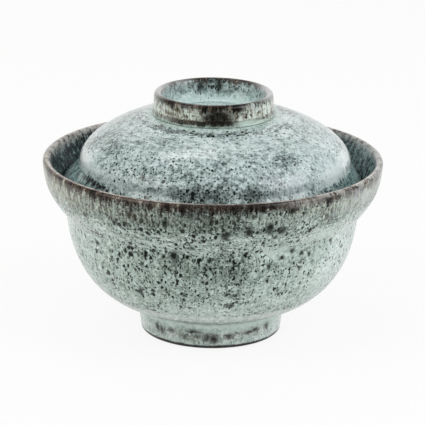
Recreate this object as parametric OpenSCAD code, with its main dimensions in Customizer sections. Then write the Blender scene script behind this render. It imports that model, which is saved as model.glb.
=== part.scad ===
// Lidded donburi bowl in glazed stoneware.
// The bowl and the lid are turned shapes about the Z axis, and each carries a luted ring:
// the foot ring under the bowl and the grip ring on the lid's crown.
// Z is up, the table is at Z = 0, and the origin is the middle of the foot's base. Millimetres.

/* [Bowl] */
// Outside diameter at the widest place, just under the lip
rim_d = 160; // [156:1:166]
// Height of the lip above the table
bowl_h = 84.8; // [83:0.2:88]
// Outside diameter at the crease under the flared collar
shoulder_d = 138; // [134:1:140]
// Height of that crease above the table
shoulder_h = 58.1; // [56:0.1:60]
// Thickness of the rounded lip
lip_t = 3.7; // [3:0.1:4.4]
// Thickness of the wall at the crease
wall_t = 5.8; // [5:0.1:7]
// Thickness of the floor inside the foot ring
floor_t = 6; // [5:0.5:8]
// Lean from upright of the collar's inner wall, where the lid rests
seat_lean = 25; // [23:1:27]

/* [Foot ring] */
// Height of the foot ring, from the table to the bowl's underside
foot_h = 13.2; // [11:0.2:15]
// Outside diameter where the ring meets the bowl
foot_root_d = 71.2; // [68:0.4:74]
// Outside diameter just above the rounded base edge
foot_base_d = 66.8; // [64:0.4:68]
// Inside diameter of the ring at the bowl's underside
foot_bore_d = 54; // [51:0.5:55]
// Radius of the base's outer edge
foot_edge_r = 1.8; // [1:0.2:2]

/* [Lid] */
// Outside diameter of the flared skirt that rests in the collar
lid_d = 141.4; // [140:0.1:142]
// Outside diameter of the dome at its widest, just above the crease
dome_d = 127.6; // [126:0.2:129]
// Height of the crown above the skirt's edge
crown_h = 35.2; // [33:0.1:38]
// Thickness of the dome
lid_t = 4.4; // [3.8:0.1:5.2]
// Thickness of the skirt's rounded edge
edge_t = 3.8; // [3:0.2:4.4]
// Lean of the skirt from upright
skirt_lean = 37; // [34:1:40]

/* [Grip ring] */
// Outside diameter of the grip ring
grip_d = 56.2; // [52:0.2:57]
// Height of the grip ring above the crown
grip_h = 10.3; // [9:0.1:12]
// Thickness of the ring's rounded top
grip_t = 3; // [2.6:0.1:3.4]
// How far the band round the ring's root stands proud
grip_band = 0.4; // [0.2:0.1:0.6]

/* [Fit] */
// Clearance between the lid's edge and the collar that it rests in
seat_gap = 0.3; // [0.2:0.05:0.5]

/* [Hidden] */
$fn = 144;

glaze_green = "#b4c9c1";
glaze_shade = "#9fb5ad";
glaze_brown = "#6f6258";

// Steps along a long curve, a middling one, a short one and a small round
long_steps = 18;
mid_steps = 12;
short_steps = 8;
round_steps = 10;

// All handles of curves below are measured from the end that each belongs to

// Bowl: the lip is a round, which the inner wall leaves square to its own lean
rim_r = rim_d / 2;
shoulder = [shoulder_d / 2, shoulder_h];
lip_r = lip_t / 2;
lip_mid = [rim_r - lip_r, bowl_h - lip_r];
seat_top = lip_mid + lip_r * [-cos(seat_lean), sin(seat_lean)];
seat_down = [-sin(seat_lean), -cos(seat_lean)];
// The seat ends a little above the crease, and the inside of the belly starts a little below it
seat_rise = 3.6;
seat_low = seat_top + (seat_top.y - shoulder_h - seat_rise) / cos(seat_lean) * seat_down;
inner_drop = 0.9;
inner_top = shoulder - [wall_t, inner_drop];
floor_mid = [0, foot_h + floor_t];
belly_foot_handle = [22, 5.9];
belly_shoulder_handle = [-1.8, -21.4];
collar_shoulder_handle = [7.4, 9.4];
collar_lip_handle = [-0.8, -12.4];
seat_handle = 1.6 * seat_down;
inner_top_handle = [0.1, 1.9];
inner_belly_handle = [-1.2, -26.5];
inner_floor_handle = [56, -0.4];

// Foot ring: a bore that widens to the table, and a small fillet at the root
foot_root = [foot_root_d / 2, foot_h];
bore_draft = 1.6;
bore_edge_r = 1.2;
bore_edge_mid = [foot_bore_d / 2 + bore_draft + bore_edge_r, bore_edge_r];
base_edge_mid = [foot_base_d / 2 - foot_edge_r, foot_edge_r];
foot_fillet = [0.9, 1.8];
fillet_low_handle = [0.1, 0.9];
fillet_root_handle = [-0.5, -0.3];

// Lid: the edge is a round, whose middle is off the seat by its radius and the clearance
edge_r = edge_t / 2;
edge_mid_r = lid_d / 2 - edge_r;
edge_to_seat = (edge_r + seat_gap) / cos(seat_lean);
edge_mid = [edge_mid_r, seat_top.y - (seat_top.x - edge_mid_r - edge_to_seat) / tan(seat_lean)];
crown_z = edge_mid.y - edge_r + crown_h;
// The crease is where the skirt's slope meets the dome's side, softened by a fillet
dome_r = dome_d / 2;
skirt_across = edge_r * [cos(skirt_lean), sin(skirt_lean)];
skirt_up = [-sin(skirt_lean), cos(skirt_lean)];
skirt_low = edge_mid + skirt_across;
crease = skirt_low + (skirt_low.x - dome_r) / sin(skirt_lean) * skirt_up;
crease_fillet = 1.6;
crease_handle = 1;
dome_low = crease + [0, crease_fillet];
skirt_top = crease - crease_fillet * skirt_up;
dome_crown_handle = [17.1, -3];
dome_low_handle = [0, 8];
// Inside of the lid
inner_skirt = 4.5;
inner_rise = 0.6;
inner_skirt_top = edge_mid - skirt_across + inner_skirt * skirt_up;
inner_dome_low = [dome_r - lid_t, crease.y + inner_rise];
inner_crown = [0, crown_z - lid_t];
inner_skirt_handle = 3;
inner_dome_handle = [0, 13];
inner_crown_handle = [34, 0];

// Grip ring: a flared root, a proud band, a step to the wall, a round top and a dished inside
grip_r = grip_d / 2;
grip_flare = 1.1;
grip_root = [grip_r + grip_flare, crown_z];
crown_margin = 0.3;
crown_edge = grip_root + [crown_margin, 0];
band_share = 0.24;
band_top = [grip_r + grip_band, crown_z + band_share * grip_h];
step_h = 1.6;
wall_low = [grip_r, band_top.y + step_h];
top_inset = 0.5;
top_r = grip_t / 2;
top_mid = [grip_r - top_inset - top_r, crown_z + grip_h - top_r];
outer_turn = 12;
inner_turn = 165;
wall_top = top_mid + top_r * direction(outer_turn);
dish_drop = [-0.2, -0.8];
dish_top = top_mid + top_r * direction(inner_turn) + dish_drop;
dish_w = 9;
dish_foot = [grip_r - dish_w, crown_z];
root_handle = [-0.5, 0.2];
band_handle = [0, -1.9];
step_low_handle = [0, 1.1];
step_top_handle = [0, -0.7];
wall_low_handle = [0, 2];
wall_top_handle = [0.2, -1.4];
dish_top_handle = [-0.4, -3];
dish_foot_handle = [4, 0.3];

// Points of a cubic curve from a to d, without d
function curve(a, a_handle, d, d_handle, steps) =
    let (b = a + a_handle, c = d + d_handle)
    [for (i = [0:steps - 1]) let (t = i / steps, u = 1 - t)
        u * u * u * a + 3 * u * u * t * b + 3 * u * t * t * c + t * t * t * d];

// Points of an arc about a middle point, from one angle to another
function arc(middle, radius, from, to) =
    [for (i = [0:round_steps]) middle + radius * direction(from + (to - from) * i / round_steps)];

function direction(angle) = [cos(angle), sin(angle)];

// Underside, belly, crease and flared collar, then over the lip, down the seat and to the floor
function bowl_outline() = concat(
    [[0, foot_h]],
    curve(foot_root, belly_foot_handle, shoulder, belly_shoulder_handle, long_steps),
    curve(shoulder, collar_shoulder_handle, [rim_r, lip_mid.y], collar_lip_handle, mid_steps),
    arc(lip_mid, lip_r, 0, 180 - seat_lean),
    curve(seat_low, seat_handle, inner_top, inner_top_handle, short_steps),
    curve(inner_top, inner_belly_handle, floor_mid, inner_floor_handle, long_steps),
    [floor_mid]);

// Bore of the foot ring, its flat base, the round outer edge and the flared root
function foot_outline() = concat(
    [[foot_bore_d / 2, foot_h]],
    arc(bore_edge_mid, bore_edge_r, 180, 270),
    arc(base_edge_mid, foot_edge_r, -90, 0),
    curve(foot_root - foot_fillet, fillet_low_handle, foot_root, fillet_root_handle, short_steps),
    [foot_root]);

// Crown, dome, crease and skirt, then round the edge and up the inside to the crown
function lid_outline() = concat(
    [[0, crown_z]],
    curve(crown_edge, dome_crown_handle, dome_low, dome_low_handle, long_steps),
    curve(dome_low, [0, -crease_handle], skirt_top, crease_handle * skirt_up, short_steps),
    [skirt_top],
    arc(edge_mid, edge_r, skirt_lean, skirt_lean - 180),
    curve(inner_skirt_top, inner_skirt_handle * skirt_up,
          inner_dome_low, [0, -inner_skirt_handle], short_steps),
    curve(inner_dome_low, inner_dome_handle, inner_crown, inner_crown_handle, long_steps),
    [inner_crown]);

// Root, band, step and wall of the grip ring, then over its top and down the dish
function grip_outline() = concat(
    curve(grip_root, root_handle, band_top, band_handle, short_steps),
    curve(band_top, step_low_handle, wall_low, step_top_handle, short_steps),
    curve(wall_low, wall_low_handle, wall_top, wall_top_handle, short_steps),
    arc(top_mid, top_r, outer_turn, inner_turn),
    curve(dish_top, dish_top_handle, dish_foot, dish_foot_handle, short_steps),
    [dish_foot]);

// Turns an outline of [radius, height] points about Z
module turned(outline) {
    rotate_extrude() polygon(outline);
}

module bowl_body() {
    color(glaze_green) turned(bowl_outline());
}

// Ring that the bowl stands on, a little narrower at the table than at its root
module foot_ring() {
    color(glaze_shade) turned(foot_outline());
}

module lid_dome() {
    color(glaze_green) turned(lid_outline());
}

// Ring that lifts the lid, and that the lid stands on when it is turned over
module grip_ring() {
    color(glaze_brown) turned(grip_outline());
}

bowl_body();
foot_ring();
lid_dome();
grip_ring();
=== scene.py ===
import math

import bmesh
import bpy
from mathutils import Matrix, Vector
from mathutils.geometry import interpolate_bezier


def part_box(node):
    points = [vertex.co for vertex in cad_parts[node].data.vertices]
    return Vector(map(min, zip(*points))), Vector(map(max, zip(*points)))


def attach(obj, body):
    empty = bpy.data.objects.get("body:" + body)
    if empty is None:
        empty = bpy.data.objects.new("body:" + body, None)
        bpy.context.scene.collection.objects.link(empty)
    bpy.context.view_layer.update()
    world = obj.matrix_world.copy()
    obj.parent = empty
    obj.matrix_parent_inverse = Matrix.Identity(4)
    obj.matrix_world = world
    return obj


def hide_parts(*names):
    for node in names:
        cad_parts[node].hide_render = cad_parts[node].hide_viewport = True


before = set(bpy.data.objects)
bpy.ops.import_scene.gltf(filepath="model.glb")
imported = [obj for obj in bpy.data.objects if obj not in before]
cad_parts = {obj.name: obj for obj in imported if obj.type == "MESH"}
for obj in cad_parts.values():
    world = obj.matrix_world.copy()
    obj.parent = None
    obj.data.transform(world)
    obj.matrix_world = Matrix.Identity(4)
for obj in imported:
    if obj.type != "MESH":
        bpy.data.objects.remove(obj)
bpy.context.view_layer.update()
scene = bpy.context.scene
mm = 0.001
white = (1, 1, 1, 1)
print("frame loaded:", ", ".join(sorted(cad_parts)))


# Colour written as sRGB hex, as linear red, green, blue and alpha
def linear(hexColour):
    parts = [int(hexColour[i:i + 2], 16) / 255 for i in (1, 3, 5)]
    return [c / 12.92 if c <= 0.04045 else ((c + 0.055) / 1.055) ** 2.4 for c in parts] + [1]


# Adds one node: settings are its own properties, links fill its inputs with sockets or plain values.
# A mix node has its factor at input 0, plain values at 2 and 3, and colours at 6 and 7, which come out at 2
def add(tree, kind, links=None, out=0, stops=(), **settings):
    node = tree.nodes.new(kind)
    for key, value in settings.items():
        setattr(node, key, value)
    for key, value in (links or {}).items():
        if isinstance(value, bpy.types.NodeSocket):
            tree.links.new(value, node.inputs[key])
        else:
            node.inputs[key].default_value = value
    for i, (at, colour) in enumerate(stops):  # a ramp starts with two stops
        stop = node.color_ramp.elements[i] if i < 2 else node.color_ramp.elements.new(at)
        stop.position, stop.color = at, linear(colour)
    return node.outputs[out] if len(node.outputs) else node


# Camera of the photograph, fitted to the ellipses of rim, grip ring and foot: metres, degrees, lens in mm
photoView = {"distance": 1.2, "elevation": 17.18, "roll": 0.79, "lens": 214.77, "sensor": 36,
             "aim": Vector((0.00015, 0, 0.05675))}
lift = math.radians(photoView["elevation"])
back = Vector((0, -math.cos(lift), math.sin(lift)))
camera = bpy.data.objects.new("photoCamera", bpy.data.cameras.new("photoCamera"))
camera.data.lens, camera.data.sensor_width = photoView["lens"], photoView["sensor"]
camera.matrix_world = (Matrix.Translation(photoView["aim"] + back * photoView["distance"])
                       @ back.to_track_quat("Z", "Y").to_matrix().to_4x4()
                       @ Matrix.Rotation(math.radians(photoView["roll"]), 4, "Z"))
scene.collection.objects.link(camera)
scene.camera = camera
scene.view_settings.view_transform = "Standard"
print("camera set")


# Outermost radius, lowest level and highest level of a CAD node, in mm
def reach(node):
    low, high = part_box(node)
    return high.x / mm, low.z / mm, high.z / mm


# Outline points are [spot, handle before, handle after], each as radius and height in mm
def corner(radius, height, before=(0, 0), after=(0, 0)):
    spot = Vector((radius, height))
    return [spot, spot + Vector(before), spot + Vector(after)]


# Points of an arc about a middle, one for each angle, counted from outwards to upwards.
# The lead is the first point's handle, for the curve that runs into the arc
def rounded(middle, radius, angles, lead=(0, 0)):
    points = []
    for i, angle in enumerate(angles):
        turn = math.radians(angle)
        run = Vector((-math.sin(turn), math.cos(turn)))
        handles = [radius * 4 / 3 * math.tan(math.radians(angle - angles[j]) / 4)
                   for j in (max(i - 1, 0), min(i + 1, len(angles) - 1))]
        points.append(corner(middle[0] + radius * math.cos(turn), middle[1] + radius * math.sin(turn),
                             before=-run * handles[0] if i else lead, after=-run * handles[1]))
    return points


# Turns an outline about Z as a potter does: round wall, then throwing ripples and soft dimples cut inwards
seamWidth = 0.001 * mm  # points closer than this become one
rippleDrift = 12  # changes of a ripple in a metre round the wall
clay = bpy.data.node_groups.new("turnedClay", "GeometryNodeTree")
clay.interface.new_socket("Clay", in_out="OUTPUT", socket_type="NodeSocketGeometry")
clayKinds = {"Outline": "Geometry", "Steps Around": "Int", "Steps Along": "Int", "Edge At": "Float",
             "Ripple Depth": "Float", "Ripple Spacing": "Float", "Dimple Depth": "Float",
             "Dimple Size": "Float", "Oval": "Float", "Lean": "Float", "Lean From": "Float",
             "Lean Full": "Float", "Lean Fade": "Float", "Lean Top": "Float", "Seed": "Float",
             "Glaze": "Material"}
clayInputs = {}
for name, kind in clayKinds.items():
    socket = clay.interface.new_socket(name, in_out="INPUT", socket_type="NodeSocket" + kind)
    clayInputs[name] = socket.identifier
given = clay.nodes.new("NodeGroupInput").outputs

# A sheet of columns round and rows along, each row at its share of the outline
columns = add(clay, "ShaderNodeMath", {0: given["Steps Around"], 1: 1})
lastRow = add(clay, "ShaderNodeMath", {0: given["Steps Along"], 1: 1}, operation="SUBTRACT")
sheet = add(clay, "GeometryNodeMeshGrid", {"Vertices X": columns, "Vertices Y": given["Steps Along"]})
index = add(clay, "GeometryNodeInputIndex")
perColumn = add(clay, "ShaderNodeMath", {0: index, 1: given["Steps Along"]}, operation="DIVIDE")
column = add(clay, "ShaderNodeMath", {0: perColumn}, operation="FLOOR")
row = add(clay, "ShaderNodeMath", {0: index, 1: given["Steps Along"]}, operation="MODULO")
share = add(clay, "ShaderNodeMath", {0: row, 1: lastRow}, operation="DIVIDE")
turnShare = add(clay, "ShaderNodeMath", {0: column, 1: given["Steps Around"]}, operation="DIVIDE")
turnAngle = add(clay, "ShaderNodeMath", {0: turnShare, 1: math.tau}, operation="MULTIPLY")
onOutline = add(clay, "GeometryNodeSampleCurve", {"Curves": given["Outline"], "Factor": share},
                out="Position", mode="FACTOR")
profile = add(clay, "ShaderNodeSeparateXYZ", {0: onOutline}).node.outputs
cosine = add(clay, "ShaderNodeMath", {0: turnAngle}, operation="COSINE")
sine = add(clay, "ShaderNodeMath", {0: turnAngle}, operation="SINE")
acrossX = add(clay, "ShaderNodeMath", {0: profile["X"], 1: cosine}, operation="MULTIPLY")
acrossY = add(clay, "ShaderNodeMath", {0: profile["X"], 1: sine}, operation="MULTIPLY")
turned = add(clay, "ShaderNodeCombineXYZ", {"X": acrossX, "Y": acrossY, "Z": profile["Z"]})
wall = add(clay, "GeometryNodeSetPosition", {"Geometry": sheet, "Position": turned})

# The way along the outline from the piece's own edge is kept for the glaze
outlineLength = add(clay, "GeometryNodeCurveLength", {0: given["Outline"]})
reached = add(clay, "ShaderNodeMath", {0: share, 1: outlineLength}, operation="MULTIPLY")
fromEdge = add(clay, "ShaderNodeMath", {0: reached, 1: given["Edge At"]}, operation="SUBTRACT")
wall = add(clay, "GeometryNodeStoreNamedAttribute",
           {"Geometry": wall, "Name": "fromEdge", "Value": fromEdge}, data_type="FLOAT", domain="POINT")
wall = add(clay, "GeometryNodeMergeByDistance", {"Geometry": wall, "Distance": seamWidth})

# Ripples follow the outline and change slowly round the wall, dimples lie anywhere
spot = add(clay, "GeometryNodeInputPosition")
height = add(clay, "ShaderNodeSeparateXYZ", {0: spot}, out="Z")
along = add(clay, "GeometryNodeInputNamedAttribute", {"Name": "fromEdge"}, data_type="FLOAT")
rippleRun = add(clay, "ShaderNodeMath", {0: along, 1: given["Ripple Spacing"]}, operation="DIVIDE")
rippleLift = add(clay, "ShaderNodeCombineXYZ", {"Z": rippleRun})
slowTurn = add(clay, "ShaderNodeVectorMath", {0: spot, 1: (rippleDrift, rippleDrift, 0), 2: rippleLift},
               operation="MULTIPLY_ADD")
ripple = add(clay, "ShaderNodeTexNoise", {"Vector": slowTurn, "W": given["Seed"], "Scale": 1, "Detail": 1},
             noise_dimensions="4D")
dimpleScale = add(clay, "ShaderNodeMath", {0: 1, 1: given["Dimple Size"]}, operation="DIVIDE")
dimple = add(clay, "ShaderNodeTexNoise",
             {"Vector": spot, "W": given["Seed"], "Scale": dimpleScale, "Detail": 1}, noise_dimensions="4D")
rippleCut = add(clay, "ShaderNodeMath", {0: ripple, 1: given["Ripple Depth"]}, operation="MULTIPLY")
cut = add(clay, "ShaderNodeMath", {0: dimple, 1: given["Dimple Depth"], 2: rippleCut},
          operation="MULTIPLY_ADD")
inwards = add(clay, "ShaderNodeMath", {0: cut, 1: -1}, operation="MULTIPLY")
facing = add(clay, "GeometryNodeInputNormal")
relief = add(clay, "ShaderNodeVectorMath", {0: facing, "Scale": inwards}, operation="SCALE")

# Settled in firing: a slight oval, and a lean to the right between two levels
squeeze = add(clay, "ShaderNodeVectorMath", {0: spot, 1: (0, -1, 0)}, operation="MULTIPLY")
squeezed = add(clay, "ShaderNodeVectorMath", {0: squeeze, "Scale": given["Oval"]}, operation="SCALE")
leanIn = add(clay, "ShaderNodeMapRange", {"Value": height, "From Min": given["Lean From"],
                                          "From Max": given["Lean Full"]}, interpolation_type="SMOOTHSTEP")
leanOut = add(clay, "ShaderNodeMapRange", {"Value": height, "From Min": given["Lean Top"],
                                           "From Max": given["Lean Fade"]}, interpolation_type="SMOOTHSTEP")
leanMask = add(clay, "ShaderNodeMath", {0: leanIn, 1: leanOut}, operation="MULTIPLY")
leanBy = add(clay, "ShaderNodeMath", {0: leanMask, 1: given["Lean"]}, operation="MULTIPLY")
leaning = add(clay, "ShaderNodeCombineXYZ", {"X": leanBy})
settled = add(clay, "ShaderNodeVectorMath", {0: squeezed, 1: leaning})
moved = add(clay, "ShaderNodeVectorMath", {0: relief, 1: settled})
wall = add(clay, "GeometryNodeSetPosition", {"Geometry": wall, "Offset": moved})
wall = add(clay, "GeometryNodeSetShadeSmooth", {0: wall})
wall = add(clay, "GeometryNodeRealizeInstances", {0: wall})
wall = add(clay, "GeometryNodeSetMaterial", {"Geometry": wall, "Material": given["Glaze"]})
add(clay, "NodeGroupOutput", {0: wall})
print("turning tree built:", len(clay.nodes), "nodes")


# Steps in one stretch of an outline, as a curve and for measuring its length
outlineSteps = 48
lengthSteps = 64


# Makes one turned piece from its outline and puts it in place of its CAD node.
# Its edge is the number of the outline point that the glaze counts from
def turnPiece(shape):
    points = shape["outline"]
    curve = bpy.data.curves.new(shape["name"] + "Outline", "CURVE")
    curve.dimensions, curve.resolution_u = "3D", outlineSteps
    spline = curve.splines.new("BEZIER")
    spline.bezier_points.add(len(points) - 1)
    for knot, point in zip(spline.bezier_points, points):
        knot.handle_left_type = knot.handle_right_type = "FREE"
        knot.co, knot.handle_left, knot.handle_right = [Vector((r, 0, z)) * mm for r, z in point]
    edgeAt = 0
    for a, b in zip(spline.bezier_points[:shape["edge"]], spline.bezier_points[1:]):
        steps = interpolate_bezier(a.co, a.handle_right, b.handle_left, b.co, lengthSteps)
        edgeAt += sum((q - p).length for p, q in zip(steps, steps[1:]))
    outline = bpy.data.objects.new(shape["name"] + "Outline", curve)
    scene.collection.objects.link(outline)
    wheel = outline.modifiers.new("turned", "NODES")
    wheel.node_group = clay
    for name, value in shape["sizes"].items():
        wheel[clayInputs[name]] = value
    wheel[clayInputs["Edge At"]] = edgeAt
    wheel[clayInputs["Glaze"]] = glazeStoneware(shape["glaze"])
    mesh = bpy.data.meshes.new_from_object(outline.evaluated_get(bpy.context.evaluated_depsgraph_get()))
    outline.modifiers.remove(wheel)
    bpy.data.objects.remove(outline)
    shell = bmesh.new()
    shell.from_mesh(mesh)
    bmesh.ops.recalc_face_normals(shell, faces=shell.faces)
    shell.to_mesh(mesh)
    shell.free()
    piece = bpy.data.objects.new(shape["name"], mesh)
    scene.collection.objects.link(piece)
    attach(piece, shape["body"])
    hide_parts(shape["node"])
    print(shape["name"], "turned:", len(mesh.polygons), "faces, edge at %.1f mm" % (edgeAt / mm))


# What all the glazes share. Noise lies round its middle. A pair runs from where a pattern starts to where
# it is full: areas and lines in half sizes, rims and specks in mm inside the speck, others in noise levels
noiseMiddle = 0.5
fired = {"area": (1.5, 0.2), "line": (1.3, 0.5), "rim": (-0.6, -0.1), "speck": (-0.06, 0.12),
         "fleck": (0.44, 0.57), "uneven": (0.3, 0.7),
         # Half width of a hair's border, gains of the noise at borders, and how specks sink into the glaze
         "hair": 0.06, "jag": 3, "sideFlecks": 2, "sink": -0.4, "relief": 0.2 * mm, "ior": 1.5}


# How far the skin is from a spot's middle, counted in the spot's half sizes.
# A spot without a bearing goes all round
def awayFrom(tree, skin, radius, bearing, at, across, tall):
    turn = math.radians(bearing or 0)
    flat = 0 if bearing is None else 2 / across
    size = (flat, flat, 2 / tall)
    middle = (radius * math.sin(turn), -radius * math.cos(turn), at)
    offset = add(tree, "ShaderNodeVectorMath", {0: skin, 1: size, 2: [-m * s for m, s in zip(middle, size)]},
                 operation="MULTIPLY_ADD")
    return add(tree, "ShaderNodeVectorMath", {0: offset}, out="Value", operation="LENGTH")


# Noise that strays some mm either way, to make the borders of a pattern uneven
def stray(tree, body, sizeMm, byMm, detail):
    noise = add(tree, "ShaderNodeTexNoise", {"Vector": body, "Scale": 1 / sizeMm, "Detail": detail},
                out="Color")
    centred = add(tree, "ShaderNodeVectorMath", {0: noise, 1: [noiseMiddle] * 3}, operation="SUBTRACT")
    return add(tree, "ShaderNodeVectorMath", {0: centred, "Scale": byMm}, operation="SCALE")


# Places to draw by, in mm: body is the piece itself, skin is unrolled round the axis and along the outline,
# and on the loose and the ragged skin the borders come out uneven
def glazePlaces(tree, look):
    spot = add(tree, "ShaderNodeTexCoord", out="Object")
    body = add(tree, "ShaderNodeVectorMath", {0: spot, "Scale": 1 / mm}, operation="SCALE")
    run = add(tree, "ShaderNodeAttribute", out="Fac", attribute_name="fromEdge")
    along = add(tree, "ShaderNodeMath", {0: run, 1: 1 / mm}, operation="MULTIPLY")
    level = add(tree, "ShaderNodeVectorMath", {0: body, 1: (1, 1, 0)}, operation="MULTIPLY")
    heading = add(tree, "ShaderNodeVectorMath", {0: level}, operation="NORMALIZE")
    ring = add(tree, "ShaderNodeVectorMath", {0: heading, "Scale": look["radius"]}, operation="SCALE")
    lifted = add(tree, "ShaderNodeCombineXYZ", {"Z": along})
    skin = add(tree, "ShaderNodeVectorMath", {0: ring, 1: lifted})
    frontness = add(tree, "ShaderNodeVectorMath", {0: heading, 1: (0, -1, 0)}, out="Value",
                    operation="DOT_PRODUCT")
    wander = stray(tree, body, look["wanderSizeMm"], look["wanderMm"], detail=2)
    loose = add(tree, "ShaderNodeVectorMath", {0: skin, 1: wander})
    spread = stray(tree, body, look["spreadSizeMm"], look["spreadMm"], detail=3)
    ragged = add(tree, "ShaderNodeVectorMath", {0: skin, 1: spread})
    return {"body": body, "along": along, "skin": skin, "frontness": frontness, "wander": wander,
            "loose": loose, "ragged": ragged}


# Areas which push the mottling darker or paler and gather specks; some stand for painted light and shade
# where they are listed
def shadeAreas(tree, look, places):
    shade = None
    for *spot, strength in look["areas"]:
        far = awayFrom(tree, places["loose"], look["radius"], *spot)
        area = add(tree, "ShaderNodeMapRange", {"Value": far, "From Min": fired["area"][0],
                                                "From Max": fired["area"][1], "To Max": strength},
                   interpolation_type="SMOOTHSTEP")
        shade = add(tree, "ShaderNodeMath", {0: shade, 1: area}) if shade else area
    return shade


# Clear mint islands with greyer glaze between, fine curdling, and slow clouds over all, about a middle tone,
# then fine throwing lines round the wall. The grain is drawn out downwards where the glaze ran
def groundTone(tree, look, places):
    gains = look["gains"]
    grain = add(tree, "ShaderNodeVectorMath", {0: places["body"], 1: (1, 1, look["grainSquash"]),
                                               2: places["wander"]}, operation="MULTIPLY_ADD")
    islands = add(tree, "ShaderNodeTexVoronoi", {"Vector": grain, "Scale": 1 / look["islandMm"]},
                  out="Distance")
    middleTone = 0.5 + noiseMiddle * (gains["island"] - gains["curdle"] - gains["mottle"] - gains["cloud"])
    tone = add(tree, "ShaderNodeMath", {0: islands, 1: -gains["island"], 2: middleTone},
               operation="MULTIPLY_ADD")
    for layer, coordinates in (("curdle", grain), ("mottle", grain), ("cloud", places["body"])):
        noise = add(tree, "ShaderNodeTexNoise", {"Vector": coordinates, "Scale": 1 / look[layer + "Mm"],
                                                 "Detail": 3, "Roughness": 0.6}, out="Fac")
        tone = add(tree, "ShaderNodeMath", {0: noise, 1: gains[layer], 2: tone}, operation="MULTIPLY_ADD")
    for at, tall, lengthMm, widthMm, strength in look["lines"]:
        stretch = (1 / lengthMm, 1 / lengthMm, 1 / widthMm)
        lineSkin = add(tree, "ShaderNodeVectorMath", {0: places["loose"], 1: stretch}, operation="MULTIPLY")
        line = add(tree, "ShaderNodeTexNoise", {"Vector": lineSkin, "Scale": 1, "Detail": 1}, out="Fac")
        line = add(tree, "ShaderNodeMath", {0: line, 1: noiseMiddle}, operation="SUBTRACT")
        far = awayFrom(tree, places["skin"], look["radius"], None, at, 0, tall)
        near = add(tree, "ShaderNodeMapRange", {"Value": far, "From Min": fired["line"][0],
                                                "From Max": fired["line"][1], "To Max": strength},
                   interpolation_type="SMOOTHSTEP")
        tone = add(tree, "ShaderNodeMath", {0: line, 1: near, 2: tone}, operation="MULTIPLY_ADD")
    return tone


# Iron specks, one to a cell in each size, larger where they gather, each sunk in the glaze with a paler rim
def addSpecks(tree, look, places, shade, colour, swell):
    gather = add(tree, "ShaderNodeTexNoise", {"Vector": places["body"], "Scale": 1 / look["gatherMm"],
                                              "Detail": 2}, out="Fac")
    density = add(tree, "ShaderNodeMath", {0: gather, 1: look["gatherGain"],
                                           2: 1 - noiseMiddle * look["gatherGain"]},
                  operation="MULTIPLY_ADD")
    density = add(tree, "ShaderNodeMath", {0: shade, 1: look["shadeGather"], 2: density},
                  operation="MULTIPLY_ADD")
    speckGrain = add(tree, "ShaderNodeVectorMath", {0: places["body"], 1: (1, 1, look["speckSquash"]),
                                                    2: places["wander"]}, operation="MULTIPLY_ADD")
    for cellMm, speckMm, present, speckColour in look["specks"]:
        cells = add(tree, "ShaderNodeTexVoronoi", {"Vector": speckGrain, "Scale": 1 / cellMm}).node.outputs
        chance = add(tree, "ShaderNodeSeparateColor", {0: cells["Color"]})
        size = add(tree, "ShaderNodeMapRange", {"Value": chance, "From Min": 1 - present,
                                                "To Max": speckMm / cellMm})
        size = add(tree, "ShaderNodeMath", {0: size, 1: density}, operation="MULTIPLY")
        inSpeck = add(tree, "ShaderNodeMath", {0: size, 1: cells["Distance"]}, operation="SUBTRACT")
        for border, full, paint in (("rim", look["rim"], look["rimColour"]), ("speck", 1, speckColour)):
            mask = add(tree, "ShaderNodeMapRange", {"Value": inSpeck, "From Min": fired[border][0] / cellMm,
                                                    "From Max": fired[border][1] / cellMm, "To Max": full},
                       interpolation_type="SMOOTHSTEP")
            colour = add(tree, "ShaderNodeMix", {0: mask, 6: colour, 7: linear(paint)}, out=2,
                         data_type="RGBA")
        swell = add(tree, "ShaderNodeMath", {0: mask, 1: fired["sink"], 2: swell}, operation="MULTIPLY_ADD")
    return colour, swell


# Patterns to paint by: broad runs of glaze and hairs down the wall, both as streaks, and blotches.
# Flecks are hairs broken by blotches, and the jag is what the runs shift a border by
def glazePatterns(tree, look, places):
    runSkin = add(tree, "ShaderNodeVectorMath", {0: places["loose"], 1: (1, 1, 1 / look["runStretch"])},
                  operation="MULTIPLY")
    broad = add(tree, "ShaderNodeTexNoise", {"Vector": runSkin, "Scale": 1 / look["runMm"], "Detail": 2},
                out="Fac")
    hairs = add(tree, "ShaderNodeTexNoise", {"Vector": runSkin, "Scale": 1 / look["hairMm"], "Detail": 2,
                                             "Roughness": 0.6}, out="Fac")
    runs = add(tree, "ShaderNodeMath", {0: broad, 1: hairs})
    jag = add(tree, "ShaderNodeMath", {0: runs, 1: 2 * noiseMiddle}, operation="SUBTRACT")
    streaks = add(tree, "ShaderNodeMath", {0: runs, 1: 0.5}, operation="MULTIPLY")
    blotches = add(tree, "ShaderNodeTexNoise", {"Vector": places["loose"], "Scale": 1 / look["blotchMm"],
                                                "Detail": 3, "Roughness": 0.65}, out="Fac")
    flecks = add(tree, "ShaderNodeMath", {0: hairs, 1: blotches})
    flecks = add(tree, "ShaderNodeMath", {0: flecks, 1: 0.5}, operation="MULTIPLY")
    return {"hairs": hairs, "streaks": streaks, "blotches": blotches, "flecks": flecks, "jag": jag}


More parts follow.
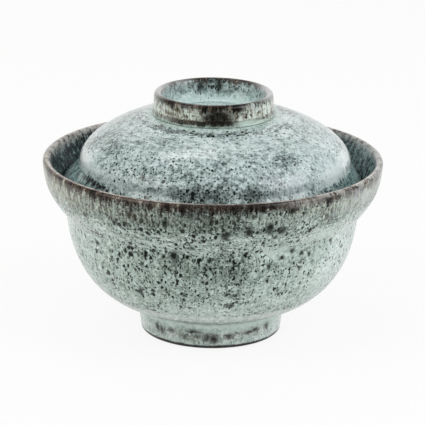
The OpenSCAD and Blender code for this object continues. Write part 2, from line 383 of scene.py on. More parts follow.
# Bands along the outline: glaze thinned to brown at an edge, pooled or bare, with streaked borders
def addBands(tree, look, places, patterns, colour):
    for band in look["bands"]:
        borders = []
        for (at, soft, jagMm), way, full in ((band["low"], 1, band["strength"]), (band["high"], -1, 1)):
            jagged = add(tree, "ShaderNodeMath", {0: patterns["jag"], 1: jagMm * fired["jag"],
                                                  2: places["along"]}, operation="MULTIPLY_ADD")
            borders.append(add(tree, "ShaderNodeMapRange", {"Value": jagged, "From Min": at - way * soft,
                                                            "From Max": at + way * soft, "To Max": full},
                               interpolation_type="SMOOTHSTEP"))
        inside = add(tree, "ShaderNodeMath", {0: borders[0], 1: borders[1]}, operation="MULTIPLY")
        if "facing" in band:  # how much the wall faces the front where the band starts and where it is full
            starts, fills = [facing + fired["sideFlecks"] * noiseMiddle for facing in band["facing"]]
            sideways = add(tree, "ShaderNodeMath", {0: patterns["flecks"], 1: fired["sideFlecks"],
                                                    2: places["frontness"]}, operation="MULTIPLY_ADD")
            side = add(tree, "ShaderNodeMapRange", {"Value": sideways, "From Min": starts,
                                                    "From Max": fills}, interpolation_type="SMOOTHSTEP")
            inside = add(tree, "ShaderNodeMath", {0: inside, 1: side}, operation="MULTIPLY")
        if "hairsFrom" in band:  # only the hairs show, the glaze between them stays
            hair = add(tree, "ShaderNodeMapRange", {"Value": patterns["hairs"],
                                                    "From Min": band["hairsFrom"] - fired["hair"],
                                                    "From Max": band["hairsFrom"] + fired["hair"]},
                       interpolation_type="SMOOTHSTEP")
            inside = add(tree, "ShaderNodeMath", {0: inside, 1: hair}, operation="MULTIPLY")
        paint = add(tree, "ShaderNodeValToRGB", {0: patterns[band["by"]]}, stops=band["paint"])
        colour = add(tree, "ShaderNodeMix", {0: inside, 6: colour, 7: paint}, out=2, data_type="RGBA")
    return colour


# Single drops and patches that stand out, each painted over those before it; some are painted highlights,
# light and shade, noted where listed
def addPatches(tree, look, places, patterns, colour):
    flecked = add(tree, "ShaderNodeMapRange", {"Value": patterns["flecks"], "From Min": fired["fleck"][0],
                                               "From Max": fired["fleck"][1]},
                  interpolation_type="SMOOTHSTEP")
    for paint, soft, broken, spots in look["patches"]:
        mask = None
        for *spot, strength in spots:
            far = awayFrom(tree, places["ragged"], look["radius"], *spot)
            drop = add(tree, "ShaderNodeMapRange", {"Value": far, "From Min": 1 + soft, "From Max": 1 - soft,
                                                    "To Max": strength}, interpolation_type="SMOOTHSTEP")
            mask = add(tree, "ShaderNodeMath", {0: mask, 1: drop}, operation="MAXIMUM") if mask else drop
        if broken:  # thin glaze, seen only as flecks
            mask = add(tree, "ShaderNodeMath", {0: mask, 1: flecked}, operation="MULTIPLY")
        colour = add(tree, "ShaderNodeMix", {0: mask, 6: colour, 7: linear(paint)}, out=2, data_type="RGBA")
    return colour


# Glazed stoneware, dipped and fired: a glossy pale green reactive glaze that curdles into grey mottling and
# dark iron specks, runs thin and brown over edges, and pools dark in creases
def glazeStoneware(look):
    material = bpy.data.materials.new(look["name"])
    material.use_nodes = True
    tree = material.node_tree
    tree.nodes.clear()
    places = glazePlaces(tree, look)
    shade = shadeAreas(tree, look, places)
    swell = groundTone(tree, look, places)
    tone = add(tree, "ShaderNodeMath", {0: swell, 1: shade}, operation="SUBTRACT")
    colour = add(tree, "ShaderNodeValToRGB", {0: tone}, stops=look["ground"])
    colour, swell = addSpecks(tree, look, places, shade, colour, swell)
    patterns = glazePatterns(tree, look, places)
    colour = addBands(tree, look, places, patterns, colour)
    colour = addPatches(tree, look, places, patterns, colour)
    # Glossy fired surface, a little uneven over the curdled glaze
    rough = add(tree, "ShaderNodeMapRange", {"Value": patterns["blotches"], "From Min": fired["uneven"][0],
                                             "From Max": fired["uneven"][1], "To Min": look["roughLow"],
                                             "To Max": look["roughHigh"]})
    bumped = add(tree, "ShaderNodeBump", {"Height": swell, "Strength": look["bump"],
                                          "Distance": fired["relief"]})
    shader = add(tree, "ShaderNodeBsdfPrincipled", {"Base Color": colour, "Roughness": rough,
                                                    "IOR": fired["ior"], "Normal": bumped})
    add(tree, "ShaderNodeOutputMaterial", {"Surface": shader})
    print(look["name"], "glaze mixed:", len(tree.nodes), "nodes")
    return material


# Ground colours from dark curdled glaze to the pale mint that it clears to, and paints of edges and of bare
# clay, near black as painted contact shadow
bowlGround = [(0, "#36413c"), (0.22, "#69776f"), (0.42, "#9cada6"), (0.6, "#bac9c3"), (0.8, "#cedbd6"),
              (1, "#e0eae7")]
lidGround = [(0, "#3c4646"), (0.22, "#748281"), (0.42, "#a4b4b3"), (0.6, "#bececd"), (0.8, "#cfdcdb"),
             (1, "#dee8e7")]
brownPaint = [(0.34, "#a89f92"), (0.43, "#6a5d52"), (0.5, "#3f352f"), (0.56, "#1f1815"), (0.66, "#0a0706")]
edgePaint = [(0.36, "#75685d"), (0.45, "#3f352f"), (0.54, "#1b1512"), (0.64, "#0a0706")]
clayAndShadowPaint = [(0.3, "#110e0c"), (0.7, "#2a2320")]

# How a glaze is written. Sizes are in mm, places in mm along the outline from the edge, and bearings in
# degrees from the front to the right.
# Lines are place, height, length, width, strength, and specks are cell, width, share of cells, colour.
# Areas are bearing, place, width, height, strength, darker above 0; without a bearing they go all round.
# Bands have a low and a high border, each as place, softness and jaggedness.
# Patches are colour, softness, whether broken into flecks, and spots written as areas are
commonGlaze = {
    "cloudMm": 18, "mottleMm": 2.8, "curdleMm": 0.9, "islandMm": 1.8, "grainSquash": 0.85,
    "gains": {"curdle": 1.3, "mottle": 1.1, "cloud": 0.7, "island": 0.5},
    "wanderSizeMm": 1.0, "wanderMm": 1.5, "spreadSizeMm": 1.4, "spreadMm": 2.1, "lines": [],
    "specks": [(1.05, 0.6, 0.9, "#19241f"), (1.7, 0.86, 0.7, "#18231e"), (2.6, 1.12, 0.62, "#161f1b"),
               (5, 1.1, 0.08, "#161d1a")],
    "speckSquash": 0.65, "rim": 0.3, "rimColour": "#c6d8cf",
    "gatherMm": 9, "gatherGain": 1.5, "shadeGather": 1.3,
    "runMm": 5, "hairMm": 0.75, "runStretch": 7, "blotchMm": 3,
    "roughLow": 0.14, "roughHigh": 0.28, "bump": 0.3}

# Bowl: belly, crease, flared collar and lip. Its edge is the crest of the lip, with the outside before it
rimRadius, underside, lipTop = reach("bowl_body")
lipRound = 1.85
lip = rounded((rimRadius - lipRound, lipTop - lipRound), lipRound, (0, 90, 155), lead=(-0.8, -12.4))
footRoot = (35.6, underside)
shoulder = (69, 58.1)
seatFoot = (66.2, 61.7)
bellyInside = (63.2, 57.2)
bowlFloor = 19.2
turnPiece({
    "name": "glazedBowl", "node": "bowl_body", "body": "bowl", "slot": "bowl_glaze", "edge": 4,
    "outline": [corner(0, underside), corner(*footRoot, after=(22, 5.9)),
                corner(*shoulder, before=(-1.8, -21.4), after=(7.4, 9.4)), *lip,
                corner(*seatFoot, after=(-0.68, -1.45)),
                corner(*bellyInside, before=(0.1, 1.9), after=(-1.2, -26.5)),
                corner(0, bowlFloor, before=(56, -0.4))],
    "sizes": {"Steps Around": 288, "Steps Along": 320, "Ripple Depth": 0.12 * mm, "Ripple Spacing": 4 * mm,
              "Dimple Depth": 0.15 * mm, "Dimple Size": 14 * mm, "Oval": 0.001, "Seed": 3.0},
    "glaze": {
        **commonGlaze, "name": "glazedStonewareBowl", "radius": 70, "ground": bowlGround, "wanderMm": 2.1,
        "lines": [(-19, 14, 9, 0.8, 1.2)],
        # The broad paler areas at bearings 55, -60, 85 and -84 are painted light, the sheen where the wall
        # turns away at the flanks
        "areas": [
            (None, -10, 0, 14, 0.12), (0, -12, 70, 10, 0.14), (0, -38, 40, 16, 0.19), (5, -42, 24, 12, 0.1),
            (1.5, -22, 18, 7, 0.2), (9, -34, 20, 14, 0.15), (-11, -22.5, 14, 8, 0.08),
            (-42, -35, 16, 12, 0.12), (-20, -19.5, 14, 8, 0.08), (-22, -36, 26, 14, 0.16),
            (47, -36, 18, 14, 0.16), (-13, -31, 12, 10, 0.12), (-20, -50, 12, 10, 0.12),
            (-5.5, -54, 14, 8, 0.12), (-52, -27, 16, 10, 0.09),
            (23, -53, 18, 15, -0.22), (27, -32, 20, 11, -0.25), (20, -10.5, 20, 10, -0.28),
            (31, -60.5, 26, 10, -0.2), (-41, -61, 18, 10, -0.18), (55, -45, 40, 60, -0.27),
            (-60, -45, 40, 60, -0.11), (85, -40, 36, 70, -0.22), (-84, -42, 34, 60, -0.3),
            (0, -66, 70, 18, -0.19), (33, -12, 12, 9, -0.3), (-44, -22, 24, 8, -0.1),
            (41, -24, 24, 10, -0.22), (16, -20.5, 20, 7, -0.12)],
        "bands": [
            # Grey veil over the collar, cream runs at its sides and back, dark hairs, and the brown lip
            {"low": (-15, 5, 3), "high": (0.4, 0.3, 0), "strength": 0.18, "by": "blotches",
             "paint": [(0.35, "#2f322c"), (0.5, "#6a7067"), (0.65, "#a3aaa1")]},
            {"low": (-12, 5, 4), "high": (0.4, 0.3, 0), "strength": 0.45, "facing": (0.9, 0.65),
             "by": "hairs", "paint": [(0.3, "#e0e2d0"), (0.5, "#b9beac"), (0.7, "#8d9282")]},
            {"low": (-13, 6, 4), "high": (0.4, 0.3, 0), "strength": 0.8, "hairsFrom": 0.56, "by": "hairs",
             "paint": [(0.5, "#3a3a31"), (0.7, "#12110d")]},
            {"low": (-5.2, 1.8, 4), "high": (0.4, 0.3, 0), "strength": 1, "by": "streaks",
             "paint": brownPaint},
            # Inside: the paler turn of the lip, and the dark pooled glaze of the seat, painted darker still
            # as the shade deep in the collar
            {"low": (0.2, 0.4, 0), "high": (2.8, 0.8, 1), "strength": 0.95, "by": "blotches",
             "paint": [(0.36, "#3f3937"), (0.5, "#88807d"), (0.62, "#bfbab8")]},
            {"low": (2.8, 1, 1.5), "high": (30, 3, 3), "strength": 1, "by": "flecks",
             "paint": [(0.4, "#050c0e"), (0.49, "#13272c"), (0.55, "#425c5d"), (0.63, "#9fbbba")]},
            # Pale turn above the foot, and a pale line along the crest of the lip, a painted highlight
            {"low": (-78, 1.5, 0), "high": (-69.5, 2, 1), "strength": 0.7, "by": "blotches",
             "paint": [(0.35, "#bccac3"), (0.6, "#ecf3f0")]},
            {"low": (-0.7, 0.3, 0), "high": (0.5, 0.3, 0), "strength": 0.85, "by": "blotches",
             "paint": [(0.35, "#5f554e"), (0.5, "#a89f95"), (0.65, "#d8d0c8")]}],
        "patches": [
            ("#1a221e", 0.75, False, [
                (-14.2, -32.1, 3.6, 4.8, 1), (-18.5, -33.2, 2.2, 2.4, 1), (-32, -34.3, 2.4, 2.2, 1),
                (-49.8, -33.7, 2.6, 2.4, 1), (-15.3, -10.8, 2.6, 3.4, 1), (-7, -26.3, 2.4, 2.6, 0.8),
                (-0.6, -33.6, 2.6, 2.4, 1), (12.2, -15.2, 3, 3, 0.9), (19.5, -12.7, 2.6, 3, 1),
                (21.9, -19.7, 2.4, 2.6, 0.9), (27.6, -34.3, 2.6, 2, 1), (40.2, -35, 2, 2.6, 1),
                (22.4, -38, 2.6, 3.2, 0.9), (36.6, -41.3, 2.2, 2.2, 0.9), (52.3, -31.4, 2.2, 2.6, 0.9),
                (6.5, -52, 2, 2.6, 1), (9.8, -52.7, 2.2, 2.2, 1)]),
            ("#0c0908", 0.9, False, [
                (14, -1.5, 10, 3, 0.5), (-3, -3, 10, 6, 0.6), (9, -3.5, 12, 7, 0.75), (15, -3.5, 8, 5, 0.6),
                (-26, -5, 9, 5, 0.5), (-6, -5.5, 10, 5.5, 0.7), (19, -3, 10, 5, 0.5),
                (-36, -4, 9, 4, 0.35)]),
            ("#c6c3ab", 0.9, True, [(-86, -4, 22, 10, 0.7), (-62, -9, 26, 10, 0.4)]),
            ("#c1c6c6", 0.9, True, [(86, -4, 24, 10, 0.8), (60, -8, 28, 11, 0.8)]),
            ("#c9c7c1", 0.8, True, [
                (31, -2.6, 16, 4, 0.5), (46, -0.6, 26, 3.4, 0.8), (62, -0.8, 30, 4, 0.9),
                (82, 0, 40, 5, 0.9), (112, 2, 50, 5, 0.8), (-118, 2.2, 80, 5, 0.8)]),
            ("#5b4d43", 0.9, True, [(-30, -9, 34, 7, 0.45)]),
            # Painted light: the inside of the collar on the right, paler where the left lamp lights it
            ("#8fabaa", 0.9, True, [(100, 10, 70, 22, 0.85)]),
            # Painted highlight: pale bands along the shoulder crease at both flanks
            ("#e9f1ee", 0.9, False, [(-74, -29, 40, 7, 0.3), (74, -29, 36, 7, 0.25)]),
            ("#1d201b", 0.7, False, [
                (4.4, -17.2, 4, 5.4, 0.9), (23.7, -15.7, 4, 4.6, 0.9), (-2.3, -19.9, 8, 0.8, 0.7),
                (19.2, -14.5, 3.4, 7, 0.85), (12.4, -14.6, 3, 6, 0.85), (31.8, -31.6, 2.6, 2.8, 0.9),
                (36.6, -33.6, 2.4, 2.4, 0.9), (-30.4, -54.6, 2.2, 6, 0.9), (8.7, -59.4, 2.8, 3.4, 0.95)])]}})

# Foot ring: its edge is the standing corner, the outside wall lies after it and the bore before it
footTop = (35, underside)
boreTop = (27, underside)
boreRound = 1.2
boreCorner = (29.8, boreRound)
standingRound = 1.8
standingCorner = (31.6, standingRound)
footFillet = (34.7, 11.8)
turnPiece({
    "name": "glazedFootRing", "node": "foot_ring", "body": "bowl", "slot": "foot_glaze", "edge": 5,
    "outline": [corner(*footTop), corner(*boreTop), *rounded(boreCorner, boreRound, (180, 270)),
                *rounded(standingCorner, standingRound, (-90, -45, 0)),
                corner(*footFillet, after=(0.1, 0.7)), corner(*footTop)],
    "sizes": {"Steps Around": 240, "Steps Along": 110, "Ripple Depth": 0.1 * mm, "Ripple Spacing": 3 * mm,
              "Dimple Depth": 0.12 * mm, "Dimple Size": 9 * mm, "Seed": 7.0},
    "glaze": {
        **commonGlaze, "name": "glazedStonewareFoot", "radius": 34, "ground": bowlGround,
        "wanderSizeMm": 2.0, "wanderMm": 4,
        "specks": [(1.25, 0.55, 0.5, "#18211e"), (2.4, 0.8, 0.25, "#1d1b18")],
        # The paler areas at bearings -86 and 86 are painted light, the glow at the flanks of the foot
        "areas": [(None, 6.5, 0, 5, -0.34), (None, 11.5, 0, 3, -0.5), (None, 2.5, 0, 3, -0.3),
                  (-86, 7, 26, 16, -0.5), (86, 7, 26, 16, -0.5), (24, 9, 16, 6, -0.25)],
        "bands": [
            # Mint below the root, brown hairs on the wall, bare clay at the base painted near black as
            # contact shadow, and painted shadow in the joint at the root
            {"low": (8.4, 1, 1), "high": (12.4, 0.4, 0), "strength": 0.35, "by": "blotches",
             "paint": [(0.35, "#a9c5b8"), (0.6, "#daf0e6")]},
            {"low": (2.6, 1, 1), "high": (8.6, 1, 1), "strength": 0.8, "hairsFrom": 0.62, "by": "hairs",
             "paint": [(0.5, "#4c4438"), (0.7, "#1c1712")]},
            {"low": (-4.5, 0.6, 0), "high": (1.6, 0.3, 0.3), "strength": 1, "by": "blotches",
             "paint": clayAndShadowPaint},
            {"low": (12.4, 0.4, 0.3), "high": (14, 0.2, 0), "strength": 0.7, "by": "blotches",
             "paint": clayAndShadowPaint}],
        "patches": [
            ("#574d40", 0.9, True, [
                (-44, 6.2, 10, 6, 0.7), (-18, 6, 14, 6, 0.7), (0, 5, 14, 6, 0.7), (16, 5.8, 10, 5, 0.7),
                (35, 6.8, 14, 5, 0.7), (50, 7.2, 6, 5, 0.6), (112, 6, 12, 5, 0.7), (138, 5.4, 14, 6, 0.7),
                (163, 6.4, 12, 5, 0.7), (-170, 5.2, 14, 6, 0.7), (-143, 6.4, 10, 5, 0.7),
                (-118, 5.8, 14, 6, 0.7)]),
            ("#221c17", 0.8, False, [
                (-47, 7.2, 3, 4, 0.9), (-42, 6, 2.6, 4, 0.85), (-32.8, 7.4, 3.6, 2.4, 0.85),
                (-21, 5.6, 3, 3, 0.8), (-13.8, 8.3, 6.5, 1.8, 0.95), (-11, 6.2, 3, 2, 0.7),
                (-3, 5.4, 4, 4, 0.9), (2.6, 5, 4.4, 4.6, 1), (14.7, 6.2, 4, 3, 0.9), (21, 7.4, 3, 1.6, 0.7),
                (32, 7, 5, 1.8, 0.85), (38, 7.6, 4, 2, 0.95), (50, 8, 3, 2.4, 0.85),
                (109, 6.6, 3.4, 3, 0.85), (116, 5.6, 2.6, 2.4, 0.8), (136, 5, 4, 4, 0.9),
                (141, 7.2, 5, 1.8, 0.85), (161, 7, 4, 2.2, 0.9), (167, 5.6, 3, 3, 0.8),
                (-172, 5, 4.4, 4.2, 0.95), (-165, 6.8, 4, 2, 0.85), (-143, 6.6, 3.4, 3, 0.85),
                (-121, 5.4, 3.6, 3.4, 0.9), (-114, 7.4, 4, 2, 0.85)])]}})

# Lid: its edge is the top of the skirt, with the inside and the skirt before it and the dome after it.
# The photograph's dome sits a little to the right of the axis, between the skirt and the grip ring
lidRadius, lidBase, crown = reach("lid_dome")
lidWall = 4.4
skirtRound = 1.9
skirtEdge = (lidRadius - skirtRound, lidBase + skirtRound)
skirtInside = (64.57, 74.93)
domeInside = (59.4, 82.87)
skirtTop = (64.76, 81)
domeFoot = (63.8, 83.87)
crownEdge = (29.5, crown)
turnPiece({
    "name": "glazedLid", "node": "lid_dome", "body": "lid", "slot": "lid_glaze", "edge": 6,
    "outline": [corner(0, crown - lidWall, after=(34, 0)),
                corner(*domeInside, before=(0, 13), after=(0, -3)),
                corner(*skirtInside, before=(-1.8, 2.4)), *rounded(skirtEdge, skirtRound, (-143, -53, 37)),
                corner(*skirtTop, after=(-0.6, 0.8)), corner(*domeFoot, before=(0, -1), after=(0, 8)),
                corner(*crownEdge, before=(17.1, -3)), corner(0, crown)],
    "sizes": {"Steps Around": 288, "Steps Along": 260, "Ripple Depth": 0.12 * mm, "Ripple Spacing": 3.5 * mm,
              "Dimple Depth": 0.15 * mm, "Dimple Size": 14 * mm, "Seed": 11.0, "Lean": 1.1 * mm,
              "Lean From": 72.5 * mm, "Lean Full": 82 * mm, "Lean Fade": 103.5 * mm, "Lean Top": 105.7 * mm},
    "glaze": {
        **commonGlaze, "name": "glazedStonewareLid", "radius": 55, "ground": lidGround, "grainSquash": 1,
        "gains": {"curdle": 1.3, "mottle": 1.4, "cloud": 1.0, "island": 0.6},
        "specks": [(1.25, 0.6, 0.8, "#222d2b"), (2.2, 0.8, 0.45, "#17201f")], "speckSquash": 1,
        "gatherMm": 12, "gatherGain": 2.2,
        "lines": [(33, 22, 9, 0.7, 1.3)], "bump": 0.05, "roughLow": 0.07, "roughHigh": 0.14,
        "areas": [
            # Painted light among these: the left flank of the dome darker and the right flank paler as the
            # light falls, and the paler areas low on the dome's sides at bearings -72, -57, 54 and 70
            (-6, 2.5, 20, 10, 0.45), (17, 2, 11, 9, 0.5), (37, 18, 15, 10, 0.3), (-10, 8, 60, 14, 0.12),
            (-15, 13.5, 14, 8, 0.12), (12, 13, 12, 8, 0.14), (-64, 20, 14, 10, 0.1), (-38, 25, 14, 10, 0.1),
            (-60, 22, 40, 30, 0.1), (-14, 39.8, 84, 5.5, 0.38), (-45, 41, 10, 3, 0.25),
            (4, 30.6, 24, 9, -0.16), (21, 10.5, 12, 8, -0.12), (-43, 4, 12, 6, -0.2),
            (52, 8.5, 16, 10, -0.15), (27, 29.5, 18, 10, -0.14), (84, 42, 28, 14, -0.3),
            (-8, 35, 60, 14, -0.08), (60, 22, 40, 30, -0.15), (-72, 6, 24, 11, -0.4),
            (-57, 5, 14, 7, -0.25), (70, 6, 26, 11, -0.45), (54, 4, 18, 8, -0.42)],
        "bands": [
            # Teal glaze pooled on the skirt, which pale glaze ran over at the front, and its brown edge
            {"low": (-15, 1, 0), "high": (0.8, 0.5, 0.4), "strength": 1, "facing": (0.7, 0.38),
             "by": "flecks",
             "paint": [(0.36, "#1c2c2e"), (0.47, "#536c6d"), (0.55, "#87a2a0"), (0.64, "#bcd1cf")]},
            {"low": (-15.5, 1, 0.5), "high": (-11.5, 1, 1), "strength": 1, "by": "streaks",
             "paint": brownPaint},
            # Smoother, paler glaze high on the dome, partly a painted haze of reflected light, and mint
            # round the grip ring and inside it
            {"low": (22, 4, 1), "high": (35, 3, 0.5), "strength": 0.3, "by": "blotches",
             "paint": [(0.34, "#72827f"), (0.46, "#a6b6b2"), (0.56, "#cddad6"), (0.66, "#e0eae7")]},
            {"low": (44, 0.8, 1), "high": (46.5, 0.1, 0), "strength": 0.7, "by": "flecks",
             "paint": [(0.42, "#8fa99f"), (0.5, "#b9d5c9"), (0.58, "#deeee6")]},
            {"low": (50, 1, 0), "high": (60, 3, 1.5), "strength": 0.55, "by": "flecks",
             "paint": [(0.4, "#9dc0b9"), (0.5, "#bcdcd5"), (0.6, "#dcf0eb")]}],
        "patches": [
            # Painted light: pale patches low on both sides of the dome, where the light falls dimly
            ("#edf5f2", 0.5, False, [(-77, 7, 14, 7, 0.35), (80, 8, 16, 8.5, 0.4)]),
            ("#a3a8ad", 0.8, True, [(28, 7, 7, 12, 0.7), (38, 6, 8, 9, 0.6), (23, 11, 6, 6, 0.5)]),
            ("#2b3f3d", 0.6, False, [(-58, -1.8, 14, 3.6, 0.35)]),
            ("#8fb3ac", 0.9, True, [(74, -2.6, 34, 8, 0.8), (-72, -2, 26, 8, 0.7)]),
            # Black pools in the crease between dome and skirt: pooled glaze, painted darker as the shade in
            # the crease
            ("#070a0b", 0.5, False, [
                (-67, -0.6, 1.8, 3.4, 0.9), (-64.6, 0, 2, 3, 1), (-62.3, -0.6, 2.6, 4, 1),
                (-60, 0.2, 2, 2.6, 0.9), (-57.8, -0.8, 3, 3.2, 1), (-55.2, -0.2, 2, 2.4, 1),
                (-53, -0.9, 3.2, 2.2, 1), (-50.4, -0.7, 2.4, 1.8, 1), (-48, -1.2, 2.6, 1.6, 0.9),
                (67, 0.6, 1.4, 3, 0.6), (64.5, 0.2, 2, 3.2, 0.7), (62, -0.4, 1.4, 2.4, 0.6),
                (59.4, -0.9, 1.6, 1.6, 0.7), (54.5, -1.2, 1.4, 1.4, 0.8), (51.5, -1, 1.8, 1.8, 0.8),
                (49, -1.2, 1.2, 1.2, 0.8)]),
            # Painted highlight: a bright streak low on the right of the dome, and painted light along the
            # dome's lower left edge
            ("#f6fbf9", 0.6, False, [(71, 4.4, 2, 6, 0.85), (-80, 4.4, 16, 2.4, 0.45)])]}})

# Grip ring: its edge is the crest, the outside wall lies before it and the dished inside after it
gripTop = reach("grip_ring")[2]
crestRound = 1.8
crestRadius = 26.1
crest = rounded((crestRadius, gripTop - crestRound), crestRound, (12, 90, 165), lead=(0.2, -1.4))
gripRoot = (28.9, crown)
bandTop = (28.4, 108.25)
gripWall = (28.1, 109.85)
dishTop = (24.2, 113.6)
dishFoot = (19.1, crown)
turnPiece({
    "name": "glazedGripRing", "node": "grip_ring", "body": "lid", "slot": "grip_glaze", "edge": 4,
    "outline": [corner(*gripRoot, after=(-0.4, 0.2)), corner(*bandTop, before=(0, -1.9), after=(0, 1.1)),
                corner(*gripWall, before=(0, -0.7), after=(0, 2)), *crest,
                corner(*dishTop, after=(-0.4, -2.6)), corner(*dishFoot, before=(4, 0.3)), corner(*gripRoot)],
    "sizes": {"Steps Around": 240, "Steps Along": 120, "Ripple Depth": 0.08 * mm, "Ripple Spacing": 3 * mm,
              "Dimple Depth": 0.1 * mm, "Dimple Size": 9 * mm, "Seed": 17.0},
    "glaze": {
        **commonGlaze, "name": "glazedStonewareGrip", "radius": 28, "ground": lidGround,
        "runMm": 3, "hairMm": 0.7, "blotchMm": 2,
        "specks": [(1.2, 0.55, 0.5, "#1c2525"), (2.2, 0.75, 0.25, "#141b1b")],
        "areas": [(180, 5, 26, 9, 0.26), (None, 12, 0, 5, -0.4)],
        "bands": [
            # Thin flecked glaze on the wall, the brown crest, and a pale line over the root
            {"low": (-12, 0.3, 0), "high": (-0.5, 0.8, 0.5), "strength": 1, "by": "flecks",
             "paint": [(0.38, "#2a241c"), (0.45, "#787162"), (0.52, "#adb2a4"), (0.6, "#dde8e0")]},
            {"low": (-3.6, 1.4, 2.5), "high": (2.6, 0.7, 2.2), "strength": 1, "by": "streaks",
             "paint": edgePaint},
            {"low": (-8.3, 0.3, 0.2), "high": (-7.7, 0.4, 0.3), "strength": 0.5, "by": "blotches",
             "paint": [(0.4, "#8d9184"), (0.6, "#d5dcd2")]},
            # Brown root, darker at the front, and the mint that the lid's glaze left at its foot
            {"low": (-12, 0.4, 0.3), "high": (-8.4, 0.3, 0.35), "strength": 0.5, "by": "streaks",
             "paint": edgePaint},
            {"low": (-12, 0.4, 0.3), "high": (-8.2, 0.3, 0.35), "strength": 0.9, "facing": (0.75, 0.95),
             "by": "streaks", "paint": edgePaint},
            {"low": (-12, 0.1, 0), "high": (-10.5, 0.4, 1), "strength": 0.7, "by": "flecks",
             "paint": [(0.42, "#7f978d"), (0.5, "#b2cdc1"), (0.58, "#dcece4")]}],
        "patches": [
            ("#c6e6e0", 0.9, False, [(None, 13, 0, 9, 0.45)]),
            ("#dfece5", 0.8, True, [
                (-25.6, -5.7, 8, 4, 0.8), (33.1, -6.2, 9, 3.4, 0.9), (66, -6, 16, 8, 1),
                (44, -3.5, 12, 6, 0.7), (-68, -5.5, 14, 6, 0.8)]),
            ("#d3e6dc", 0.6, False, [(33, -10, 12, 3, 0.8), (46, -10.8, 12, 2.2, 0.8)]),
            ("#b5aca4", 0.8, True, [(-100, 0.5, 20, 4, 0.7)]),
            ("#110e0b", 0.55, False, [(4, -6.6, 15, 7.6, 0.96)]),
            ("#596461", 0.8, True, [(-124, 5, 18, 5, 0.7), (122, 4.6, 18, 5, 0.5)]),
            ("#cfd0cf", 0.7, False, [
                (-96, 0.6, 30, 5.6, 0.65), (92, 0.6, 30, 6, 0.8), (-140, 1.6, 14, 4, 0.35)]),
            ("#18211f", 0.6, False, [
                (-164, 4.5, 3, 6, 0.85), (174, 4.5, 3.4, 6, 0.9), (-178, 2.4, 10, 2.4, 0.6)])]}})

# Studio: white sweep and floor, soft lamps at both sides, a strip above, a dark room on the camera's side.
# Lamps are name, place, how far to the right they aim, size, watts and tint; all lengths are in metres
studio = {"ambient": 0.61, "frontGloss": 0.06, "sideGloss": 0.3, "roomStart": 0.1, "sweepEdge": (0.67, 0.74),
          "floor": "#f4f4f2", "floorGlow": 0.88, "floorHalf": 3, "cardEdge": (0.02, -0.12),
          "aimHeight": 0.06,
          "lamps": [("softLeft", (-0.95, -0.55, 0.75), 0, (0.8, 0.8), 4.6, "#fffffb"),
                    ("softRight", (0.95, -0.45, 0.7), 0, (0.8, 0.8), 5.6, "#f9fbff"),
                    ("stripTop", (-0.23, 0.32, 1.15), -0.23, (0.45, 0.22), 1.25, "#ffffff")]}

# White to the camera, plain ambient light, and in gloss a dark front, grey sides and a white sweep behind
world = bpy.data.worlds.new("whiteStudio")
scene.world = world
world.use_nodes = True
room = world.node_tree
room.nodes.clear()
path = add(room, "ShaderNodeLightPath").node.outputs
aimed = add(room, "ShaderNodeTexCoord", out="Generated")
depth = add(room, "ShaderNodeSeparateXYZ", {0: aimed}, out="Y")
sweepStart, sweepFull = studio["sweepEdge"]
roomGloss = add(room, "ShaderNodeMapRange", {"Value": depth, "From Min": studio["roomStart"],
                                             "From Max": sweepStart, "To Min": studio["frontGloss"],
                                             "To Max": studio["sideGloss"]})
sweepGloss = add(room, "ShaderNodeMapRange", {"Value": depth, "From Min": sweepStart, "From Max": sweepFull,
                                              "To Max": 1 - studio["sideGloss"]},
                 interpolation_type="SMOOTHSTEP")
glossLevel = add(room, "ShaderNodeMath", {0: roomGloss, 1: sweepGloss})
level = add(room, "ShaderNodeMix", {0: path["Is Glossy Ray"], 2: studio["ambient"], 3: glossLevel})
clear = add(room, "ShaderNodeMath", {0: path["Is Camera Ray"], 1: path["Is Transmission Ray"]},
            operation="MAXIMUM")
level = add(room, "ShaderNodeMix", {0: clear, 2: level, 3: 1})
sky = add(room, "ShaderNodeBackground", {"Color": white, "Strength": level})
add(room, "ShaderNodeOutputWorld", {"Surface": sky})
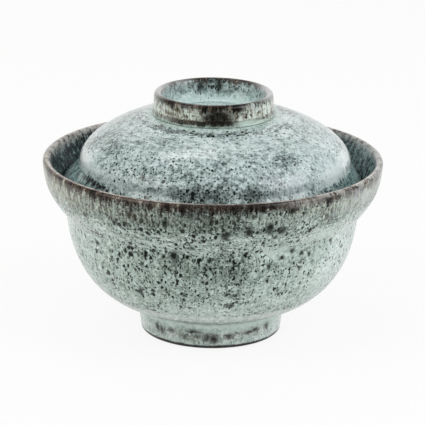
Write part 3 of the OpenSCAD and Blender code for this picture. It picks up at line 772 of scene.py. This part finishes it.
for name, spot, aimX, size, power, tint in studio["lamps"]:
    lamp = bpy.data.objects.new(name, bpy.data.lights.new(name, "AREA"))
    lamp.data.shape, lamp.data.energy = "RECTANGLE", power
    lamp.data.size, lamp.data.size_y = size
    lamp.data.color = linear(tint)[:3]
    lamp.location = spot
    aim = Vector((aimX, 0, studio["aimHeight"])) - Vector(spot)
    lamp.rotation_euler = aim.to_track_quat("-Z", "Y").to_euler()
    scene.collection.objects.link(lamp)

# Matt white paper, seen white by the camera and in reflections behind the bowl, dark in those before it
half = studio["floorHalf"]
floorMesh = bpy.data.meshes.new("studioFloor")
floorCorners = [(-half, -half, 0), (half, -half, 0), (half, half, 0), (-half, half, 0)]
floorMesh.from_pydata(floorCorners, [], [(0, 1, 2, 3)])
floor = bpy.data.objects.new("studioFloor", floorMesh)
scene.collection.objects.link(floor)
paper = bpy.data.materials.new("mattWhitePaper")
paper.use_nodes = True
sweep = paper.node_tree
sweep.nodes.clear()
rays = add(sweep, "ShaderNodeLightPath").node.outputs
matt = add(sweep, "ShaderNodeBsdfDiffuse", {"Color": linear(studio["floor"])})
bright = add(sweep, "ShaderNodeEmission", {"Color": white, "Strength": 1})
seen = add(sweep, "ShaderNodeMath", {0: rays["Is Camera Ray"], 1: rays["Is Glossy Ray"]},
           operation="MAXIMUM")
glow = add(sweep, "ShaderNodeMath", {0: seen, 1: studio["floorGlow"]}, operation="MULTIPLY")
lit = add(sweep, "ShaderNodeMixShader", {0: glow, 1: matt, 2: bright})
floorSpot = add(sweep, "ShaderNodeTexCoord", out="Object")
floorDepth = add(sweep, "ShaderNodeSeparateXYZ", {0: floorSpot}, out="Y")
front = add(sweep, "ShaderNodeMapRange", {"Value": floorDepth, "From Min": studio["cardEdge"][0],
                                          "From Max": studio["cardEdge"][1]})
flagged = add(sweep, "ShaderNodeMath", {0: front, 1: rays["Is Glossy Ray"]}, operation="MULTIPLY")
card = add(sweep, "ShaderNodeEmission", {"Color": white, "Strength": studio["frontGloss"]})
lit = add(sweep, "ShaderNodeMixShader", {0: flagged, 1: lit, 2: card})
add(sweep, "ShaderNodeOutputMaterial", {"Surface": lit})
floorMesh.materials.append(paper)
print("studio lit")
